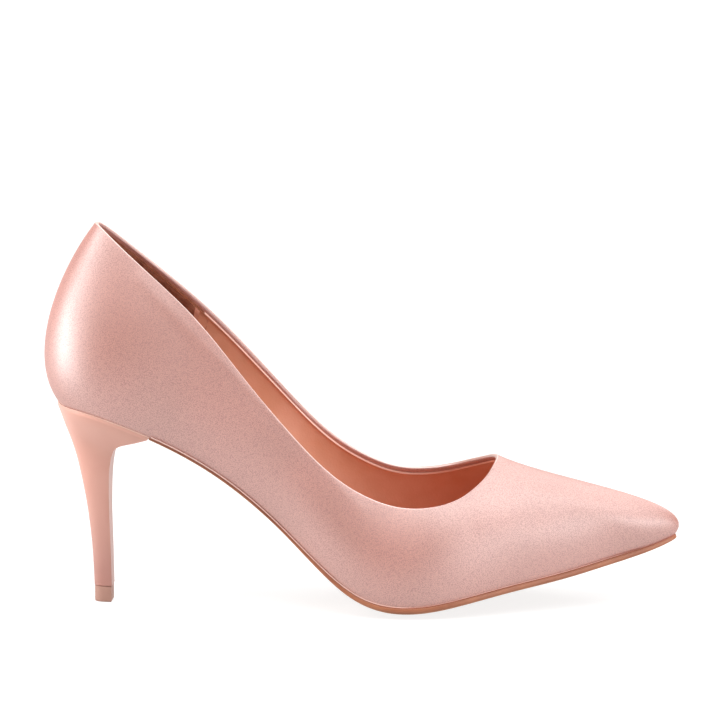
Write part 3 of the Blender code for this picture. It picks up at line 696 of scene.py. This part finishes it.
def make_lining():
    """The lining, glued inside the satin. Its lip lies over the satin's turned edge."""
    top = FULL_HEIGHT - FOLD_RADIUS - FOLD_RETURN
    back = SATIN_DEPTH + 0.05 * MM
    foot = 0.9 * MM
    # Rise above the satin's turned edge, and depth under the wall's outside
    lip = [
        (-0.35 * MM, back),
        (-0.35 * MM, WALL - 0.1 * MM),
        (0.30 * MM, WALL + 0.03 * MM),
        (0.32 * MM, WALL + 0.25 * LINING_PROUD),
        (0.0, WALL + 0.8 * LINING_PROUD),
        (-0.25 * MM, WALL + LINING_PROUD),
        (-0.6 * LINING_LIP, WALL + 0.7 * LINING_PROUD),
        (-LINING_LIP, WALL + 0.2 * LINING_PROUD),
    ]
    rings = [wall_ring(top + rise, depth) for rise, depth in lip]
    rings += wall_rings(top - LINING_LIP - 0.3 * MM, foot, 31, WALL)
    rings += wall_rings(foot, top - 0.5 * MM, 13, back)

    def paint(k, i):
        """The lip shows the lining's pale cut edge, painted paler still as a highlight, and the grip's
        suede behind the grip's front.
        """
        if not 1 <= k <= 4:
            return 0
        return 2 if i >= column_of(1, GRIP_ROW) or i < column_of(-1, GRIP_ROW) else 1

    materials = [LINING, LINING_EDGE_AND_HIGHLIGHT, SUEDE]
    ringed("lining", rings, materials, "sock", closed=True, paint=paint)


def make_heel_grip():
    """The suede heel grip inside the back, laid over the lining up to the fold."""
    first = column_of(1, GRIP_ROW)
    last = column_of(-1, GRIP_ROW)
    columns = [c % COLUMNS for c in range(first, COLUMNS + last + 1)]
    top = FULL_HEIGHT - FOLD_RADIUS - FOLD_RETURN - 0.9 * MM
    base = WALL + 0.03 * MM
    face = WALL + GRIP_THICKNESS
    foot = SOCK_TOP + 0.5 * MM
    profile = [wall_ring(top, base), wall_ring(top + 0.05 * MM, 0.5 * (base + face))]
    profile += wall_rings(top - 0.25 * MM, foot, 25, face)
    profile += wall_rings(foot, top - 0.2 * MM, 13, base)
    rings = [[ring[c] for ring in profile] for c in columns]
    skived = (0, len(rings) - 2)

    def paint(k, i):
        return int(k in skived)

    materials = [SUEDE, SKIVED]
    ringed("heel_grip", rings, materials, "sock", cap_first=True, cap_last=True, paint=paint)


def rows_between(first, last, steps):
    """Fractional rows from first to last, at so many steps a row."""
    inner = np.arange(LAST_ROW * steps + 1) / steps
    margin = 0.5 / steps
    inner = inner[(inner > first + margin) & (inner < last - margin)]
    return [first, *inner, last]


def make_sock():
    """The sock over the insole board, with a soft roll along its edge."""
    inset = WALL + 0.1 * MM
    roll_width = 0.5 * MM
    roll_depth = 0.45 * MM
    rings = []
    for row in rows_between(0, LAST_ROW, 9):
        bottom = across(row, inset, 0.0, steps=20)
        top = across(row, inset + roll_width, -SOCK_TOP, steps=20)
        edge = across(row, inset, roll_depth - SOCK_TOP, steps=20)
        rings.append([*bottom, edge[-1], *top[::-1], edge[0]])
    piece = ringed("sock", rings, [SOCK], "sock")
    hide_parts("insole")


def sole_section(row):
    """The outsole's section at a row: tread from lateral to medial, edge, top, and edge again."""
    welt = underside(row, "welt")
    tip_share = max(0, row - LAST_ROW + TIP_ROWS) / TIP_ROWS
    depth = underside(row, "depth") * (1 - TIP_THINNING * tip_share)
    chamfer = SOLE_CHAMFER * depth / SOLE_THICKNESS
    # Share of the chamfer inwards, and share of the thickness down from the top
    edge = [(0.16, 0.0), (0.0, 0.08), (0.0, 0.60), (0.18, 0.80), (0.5, 0.93)]
    sides = []
    for inward, down in edge:
        sides.append(across(row, inward * chamfer - welt, SOLE_TOP_GAP + down * depth, steps=1))
    bottom = across(row, chamfer - welt, SOLE_TOP_GAP + depth, underside(row, "belly"), 20)
    tread = [np.array([point[0], point[1], max(point[2], 0)]) for point in bottom]
    top = across(row, 0.16 * chamfer - welt, SOLE_TOP_GAP, steps=20)
    medial = [side[-1] for side in sides[:0:-1]]
    lateral = [side[0] for side in sides[1:]]
    return tread, medial, top[::-1], lateral


def make_outsole():
    """The leather outsole with its inked edge."""
    # The breast lies between the feather table's rows 3 and 4, and the outsole starts 0.1 mm ahead
    row_length = SHOE_LENGTH * (FEATHER[4].along - FEATHER[3].along)
    rings = []
    for row in rows_between(BREAST_ROW + 0.1 * MM / row_length, LAST_ROW, 9):
        tread, medial, top, lateral = sole_section(row)
        rings.append([*tread, *medial, *top, *lateral])
    count = len(tread)
    edge = len(medial)

    def paint(k, i):
        medial_edge = count + 2 <= i <= count + edge
        lateral_edge = len(rings[0]) - edge <= i < len(rings[0]) - 1
        return int(medial_edge or lateral_edge)

    materials = [SOLE, SOLE_EDGE]
    piece = ringed("leather_outsole", rings, materials, "sole_leather", cap_first=True, paint=paint)
    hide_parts("outsole")


def make_bead(name, places, drop, radius, material, slot):
    """A fine round bead under the feather line, through (side, row, inset) places."""
    rings = []
    for side, row, inset in places:
        ring = []
        for angle in np.radians(range(0, 360, 45)):
            point = feather_point(side, row, inset - radius * math.cos(angle))
            ring.append(point + (drop + radius * math.sin(angle)) * downwards(row))
        rings.append(ring)
    ringed(name, rings, [material], slot, cap_first=True, cap_last=True)


def sole_places(waist_inset, forefoot_inset):
    """Places of a bead along the outsole's edge, from the heel round the toe and back."""
    rows = rows_between(BREAST_ROW + 0.02, LAST_ROW, 12)
    turn = [WAIST_END_ROW - 1, WAIST_END_ROW + 1]
    insets = np.interp(rows, turn, [waist_inset, forefoot_inset])
    lateral = [(-1, row, inset) for row, inset in zip(rows, insets)]
    return lateral + [(1, row, inset) for side, row, inset in lateral[-2::-1]]


def make_beads():
    """The pale edge of the heel's cover, partly a painted highlight, the sole's inked seam, and the
    satin's fold at the waist, painted pale as a highlight.
    """
    steps = np.linspace(-1, 1, 97)
    seat = [(math.copysign(1, step), BREAST_ROW * abs(step), 0.0) for step in steps]
    seam = sole_places(-0.10 * MM, -0.10 * MM)
    fold = sole_places(-0.58 * MM, 0.1 * MM)
    # Name, places, drop under the feather line, radius, material and slot
    make_bead("heel_cover_edge", seat, 0.22 * MM, 0.16 * MM, COVER_EDGE_AND_HIGHLIGHT, "heel_lacquer")
    make_bead("sole_feather_seam", seam, 0.14 * MM, 0.22 * MM, SEAM, "sole_leather")
    make_bead("satin_feather_line", fold, -0.22 * MM, 0.22 * MM, HIGHLIT_FEATHER_FOLD, "satin")


def blend_rows(rows, position):
    """A smooth row between the rows of a table, by a curve through its neighbours."""
    values = np.array([row[1:] for row in rows], float)
    i = min(int(position), len(values) - 2)
    t = position - i
    before = values[max(i - 1, 0)]
    after = values[min(i + 2, len(values) - 1)]
    start = 0.5 * (values[i + 1] - before)
    end = 0.5 * (after - values[i])
    rise = values[i + 1] - values[i]
    return values[i] + t * start + t**2 * (3 * rise - 2 * start - end) + t**3 * (start + end - 2 * rise)


def seat_edge(drop):
    """The heel's top edge under the feather line: from its breast round the back to its breast."""
    edge = []
    for i in range(2 * HEEL_STEPS_ROUND + 1):
        side = -1 if i <= HEEL_STEPS_ROUND else 1
        row = BREAST_ROW * abs(1 - i / HEEL_STEPS_ROUND)
        edge.append(feather_point(side, row) + drop * downwards(row))
    return edge


def seat_shape():
    """The seat's edge in shares: how far behind the breast, how far aside, and its height between."""
    edge = seat_edge(0)
    breast = 0.5 * (edge[0] + edge[-1])
    back = edge[HEEL_STEPS_ROUND]
    behind = [(breast[0] - point[0]) / (breast[0] - back[0]) for point in edge]
    aside = [point[1] / (0.5 * SEAT_WIDTH) for point in edge]
    rise = [point[2] - breast[2] - share * (back[2] - breast[2]) for point, share in zip(edge, behind)]
    return list(zip(behind, aside, rise))


SEAT_SHAPE = seat_shape()


def heel_section(back, breast, seat_share):
    """A heel section. It changes from the seat's outline (1) to the shaft's (0), which is round
    behind, flat on its breast and turned outwards with the foot."""
    depth = breast[0] - back[0]
    centre = 0.5 * (back[0] + breast[0])
    width = SHAFT_WIDTH + seat_share * (SEAT_WIDTH - SHAFT_WIDTH)
    turn = (1 - seat_share) * HEEL_TURN
    ring = []
    for i, (seat_behind, seat_aside, seat_rise) in enumerate(SEAT_SHAPE):
        angle = math.pi * i / (2 * HEEL_STEPS_ROUND)
        behind = math.sin(angle) ** SHAFT_FULLNESS
        aside = -math.copysign(abs(math.cos(angle)) ** SHAFT_FULLNESS, math.cos(angle))
        behind += seat_share * (seat_behind - behind)
        aside += seat_share * (seat_aside - aside)
        ahead = breast[0] - depth * behind - centre
        sideways = aside * 0.5 * width
        height = breast[1] + (back[1] - breast[1]) * behind + seat_share * seat_rise
        x = centre + ahead * math.cos(turn) + sideways * math.sin(turn)
        y = sideways * math.cos(turn) - ahead * math.sin(turn)
        ring.append(np.array([x, y, height]))
    front = [ring[-1] + (ring[0] - ring[-1]) * i / FRONT_CUT for i in range(1, FRONT_CUT)]
    return ring + front


def shaft_foot():
    """The back and breast of the shaft where the top lift meets it, in the side view."""
    back = np.array([SHAFT_SETBACK, LIFT_HEIGHT + GAP])
    return back, back + np.array([SHAFT_DEPTH, 0])


def make_heel():
    """The stiletto heel, its corners eased as lacquer leaves them."""
    lip = seat_edge(GAP + SOLE_END_THICKNESS)
    seat_back = lip[HEEL_STEPS_ROUND][[0, 2]]
    seat_breast = 0.5 * (lip[0] + lip[-1])[[0, 2]]
    foot_back, foot_breast = shaft_foot()
    seat_front = across(BREAST_ROW, 0, GAP, steps=FRONT_CUT)
    rings = [seat_edge(GAP) + list(seat_front[-2:0:-1])]
    # The table's first two steps lie too near the seat's edge for rings of their own
    for i in range(2, (len(HEEL) - 1) * HEEL_STEPS_DOWN + 1):
        back_down, back_in, breast_down, breast_in, width = blend_rows(HEEL, i / HEEL_STEPS_DOWN)
        back = seat_back + (foot_back - seat_back) * [back_in, back_down]
        breast = seat_breast + (foot_breast - seat_breast) * [breast_in, breast_down]
        rings.append(heel_section(back, breast, width))
    bm = bmesh.new()
    add_rings(bm, rings, cap_last=True)
    rows = [BREAST_ROW * (1 - i / HEEL_STEPS_ROUND) for i in range(HEEL_STEPS_ROUND + 1)]
    add_sheet(bm, [across(row, 0, GAP, steps=FRONT_CUT) for row in rows])
    piece = finished("stiletto_heel", bm, [LACQUER])
    ease = piece.modifiers.new("eased corners", "BEVEL")
    ease.width = 0.22 * MM
    ease.segments = 3
    ease.limit_method = "ANGLE"
    ease.angle_limit = CORNER_ANGLE
    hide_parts("heel")


def make_top_lift():
    """The top lift: a moulded pad with an eased edge and a fine seam under the shaft."""
    back, breast = shaft_foot()
    # Height of each ring, and how far it lies inside the shaft's outline
    levels = [
        (LIFT_HEIGHT + 0.18 * MM, 0.60 * MM),
        (LIFT_HEIGHT + 0.04 * MM, 0.45 * MM),
        (LIFT_HEIGHT - 0.12 * MM, LIFT_INSET),
        (LIFT_HEIGHT - 1.6 * MM, LIFT_INSET),
        (0.9 * MM, LIFT_INSET),
        (0.35 * MM, LIFT_INSET + 0.02 * MM),
        (0.10 * MM, LIFT_INSET + 0.14 * MM),
        (0.0, LIFT_INSET + 0.4 * MM),
    ]
    ring = np.array(heel_section(back, breast, 0))
    middle = ring.mean(axis=0)
    half = np.array([0.5 * SHAFT_DEPTH, 0.5 * SHAFT_WIDTH])
    rings = []
    for height, inset in levels:
        flat = middle[:2] + (ring[:, :2] - middle[:2]) * (1 - inset / half)
        rings.append(np.column_stack([flat, np.full(len(flat), height)]))
    piece = ringed("heel_lift", rings, [LIFT_RUBBER], "lift_rubber", cap_first=True, cap_last=True)
    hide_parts("top_lift")


def stitch_tree():
    """Stitches along a curve: a short rounded thread laid at even steps, with named sizes."""
    tree = bpy.data.node_groups.new("stitches_along", "GeometryNodeTree")
    face = tree.interface
    face.new_socket("Path", in_out="INPUT", socket_type="NodeSocketGeometry")
    for name in ("Pitch", "Length", "Thickness"):
        face.new_socket(name, in_out="INPUT", socket_type="NodeSocketFloat")
    face.new_socket("Thread", in_out="INPUT", socket_type="NodeSocketMaterial")
    face.new_socket("Stitches", in_out="OUTPUT", socket_type="NodeSocketGeometry")
    given = add_node(tree, "NodeGroupInput").outputs
    spacing = {"Curve": given["Path"], "Length": given["Pitch"]}
    spaced = add_node(tree, "GeometryNodeResampleCurve", spacing, mode="LENGTH")
    tangent = add_node(tree, "GeometryNodeInputTangent").outputs["Tangent"]
    laid = add_node(tree, "FunctionNodeAlignRotationToVector", {"Vector": tangent}, axis="Z")
    half = {0: given["Thickness"], 1: 0.5}
    radius = add_node(tree, "ShaderNodeMath", half, operation="MULTIPLY").outputs["Value"]
    shape = {"Vertices": 8, "Side Segments": 3, "Radius": radius, "Depth": given["Length"]}
    thread = add_node(tree, "GeometryNodeMeshCylinder", shape).outputs["Mesh"]
    rounded = add_node(tree, "GeometryNodeSubdivisionSurface", {"Mesh": thread, "Level": 1})
    places = {
        "Points": spaced.outputs["Curve"],
        "Instance": rounded.outputs["Mesh"],
        "Rotation": laid.outputs["Rotation"],
    }
    points = add_node(tree, "GeometryNodeInstanceOnPoints", places)
    real = add_node(tree, "GeometryNodeRealizeInstances", {"Geometry": points.outputs["Instances"]})
    dye = {"Geometry": real.outputs["Geometry"], "Material": given["Thread"]}
    dyed = add_node(tree, "GeometryNodeSetMaterial", dye)
    add_node(tree, "NodeGroupOutput", {"Stitches": dyed.outputs["Geometry"]})
    return tree


STITCHES = stitch_tree()


def make_stitches(name, path):
    """A row of stitches along a path of points, as a plain mesh."""
    curve = bpy.data.curves.new(name + "_path", "CURVE")
    curve.dimensions = "3D"
    spline = curve.splines.new("POLY")
    spline.points.add(len(path) - 1)
    for point, place in zip(spline.points, path):
        point.co = (*(np.array(place) + CENTRE), 1)
    guide = placed(name + "_guide", curve)
    sewn = guide.modifiers.new("stitches", "NODES")
    sewn.node_group = STITCHES
    sizes = {"Pitch": STITCH_PITCH, "Length": STITCH_LENGTH, "Thickness": THREAD_THICKNESS}
    given = {**sizes, "Thread": THREAD}
    for socket in STITCHES.interface.items_tree:
        if socket.in_out == "INPUT" and socket.name in given:
            sewn[socket.identifier] = given[socket.name]
    graph = bpy.context.evaluated_depsgraph_get()
    mesh = bpy.data.meshes.new_from_object(guide.evaluated_get(graph), depsgraph=graph)
    bpy.data.objects.remove(guide)
    mesh.name = name
    mesh.shade_smooth()
    piece = placed(name, mesh)
    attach(piece, "root")


def grip_stitch_path(side):
    """Down the lining just ahead of the heel grip's front edge."""
    column = (column_of(side, GRIP_ROW) + (2 if side < 0 else -2)) % COLUMNS
    top = FULL_HEIGHT[column] - FOLD_RADIUS - FOLD_RETURN - 2.0 * MM
    heights = np.linspace(top, SOCK_TOP + 3 * MM, 40)
    return [wall_ring(height, WALL + 0.02 * MM)[column] for height in heights]


def make_stage():
    """A pale floor that sweeps up behind the shoe."""
    bm = bmesh.new()
    reach, rise, turn = 6.0, 4.0, 1.0
    profile = [(-reach, 0.0), (reach - turn, 0.0)]
    for angle in np.radians(np.linspace(10, 80, 8)):
        profile.append((reach - turn + turn * math.sin(angle), turn * (1 - math.cos(angle))))
    profile.append((reach, turn))
    profile.append((reach, rise))
    rows = [[(x, y, z) for y, z in profile] for x in (-reach, reach)]
    add_sheet(bm, [row[::-1] for row in rows])
    mesh = bpy.data.meshes.new("pale_floor")
    bm.to_mesh(mesh)
    bm.free()
    mesh.shade_smooth()
    floor = placed("pale_floor", mesh)
    table_top, tree, shader, _ = new_finish("white_acrylic_light_table", 0.8)
    shader.inputs["Base Color"].default_value = linear("848484")
    shader.inputs["Emission Color"].default_value = linear("FFFFFF")
    # The table glows for the eye and in reflections, and lights the shoe from below less than that
    falling = add_node(tree, "ShaderNodeLightPath").outputs["Is Diffuse Ray"]
    glow = add_node(tree, "ShaderNodeMapRange", {"Value": falling, "To Min": 0.82, "To Max": 0.08})
    tree.links.new(glow.outputs["Result"], shader.inputs["Emission Strength"])
    mesh.materials.append(table_top)


def add_strip(name, watts, width, height, place, aim):
    """A strip softbox at a place, turned to face a point and hidden from the camera."""
    lamp = bpy.data.lights.new(name, "AREA")
    lamp.shape = "RECTANGLE"
    lamp.size = width
    lamp.size_y = height
    lamp.energy = watts
    holder = placed(name, lamp)
    holder.location = place
    back = Vector(place) - Vector(aim)
    holder.rotation_euler = back.to_track_quat("Z", "Y").to_euler()
    holder.visible_camera = False


def add_wash(name, strength, spread, comes_from):
    """An even, far light from a direction, as soft as its spread in degrees."""
    lamp = bpy.data.lights.new(name, "SUN")
    lamp.energy = strength
    lamp.angle = math.radians(spread)
    holder = placed(name, lamp)
    holder.rotation_euler = Vector(comes_from).to_track_quat("Z", "Y").to_euler()


def make_lights():
    """Soft studio light: washes from above and from behind, and softboxes beside the toe and heel."""
    # Name, strength, spread in degrees, and the direction that the light comes from
    add_wash("overhead_softbox", 2.35, 70, (0.20, -0.20, 0.95))
    add_wash("toe_side_top_softbox", 0.5, 60, (0.55, 0.10, 0.83))
    add_wash("back_softbox", 3.2, 60, (0.20, 0.91, 0.36))
    # Name, watts, width, height, place, and the point that the strip faces
    add_strip("toe_end_softbox", 2.0, 0.60, 0.35, (0.95, -0.45, 0.18), (0.08, 0, 0.03))
    add_strip("toe_side_softbox", 4.9, 1.2, 0.7, (0.90, -0.70, 0.36), (0.08, 0, 0.03))
    add_strip("heel_side_strip", 2.0, 0.42, 1.1, (-1.13, -0.34, 0.5), (-0.1, 0, 0.5))
    add_strip("high_heel_side_strip", 8.8, 0.42, 0.8, (-0.95, -0.30, 1.1), (-0.1, 0, 0.1))
    add_strip("low_heel_side_strip", 9.8, 0.42, 0.6, (-1.15, -0.10, 0.15), (-0.1, 0, 0.15))
    world = bpy.data.worlds.new("white_studio")
    world.use_nodes = True
    shade = world.node_tree.nodes["Background"]
    shade.inputs["Color"].default_value = linear("FFFFFF")
    shade.inputs["Strength"].default_value = 0.04
    bpy.context.scene.world = world


def make_camera():
    """The photograph's view: from the outer side, 9.5 degrees above the floor, with a long lens."""
    # The place and the lens give the photograph's frame, from 2.2 m away
    eye = bpy.data.cameras.new("camera")
    eye.lens = 295.66
    eye.sensor_width = 36
    eye.clip_end = 50
    holder = placed("camera", eye)
    holder.location = (-0.0003, -2.1698, 0.4529)
    holder.rotation_euler = (math.radians(80.5), 0, 0)
    bpy.context.scene.camera = holder


make_camera()
make_lights()
make_stage()
make_satin()
make_lining()
make_heel_grip()
make_sock()
make_outsole()
make_heel()
make_top_lift()
make_beads()
for side, name in ((-1, "outer"), (1, "inner")):
    make_stitches(name + "_grip_stitches", grip_stitch_path(side))

bpy.context.scene.view_settings.view_transform = "Standard"
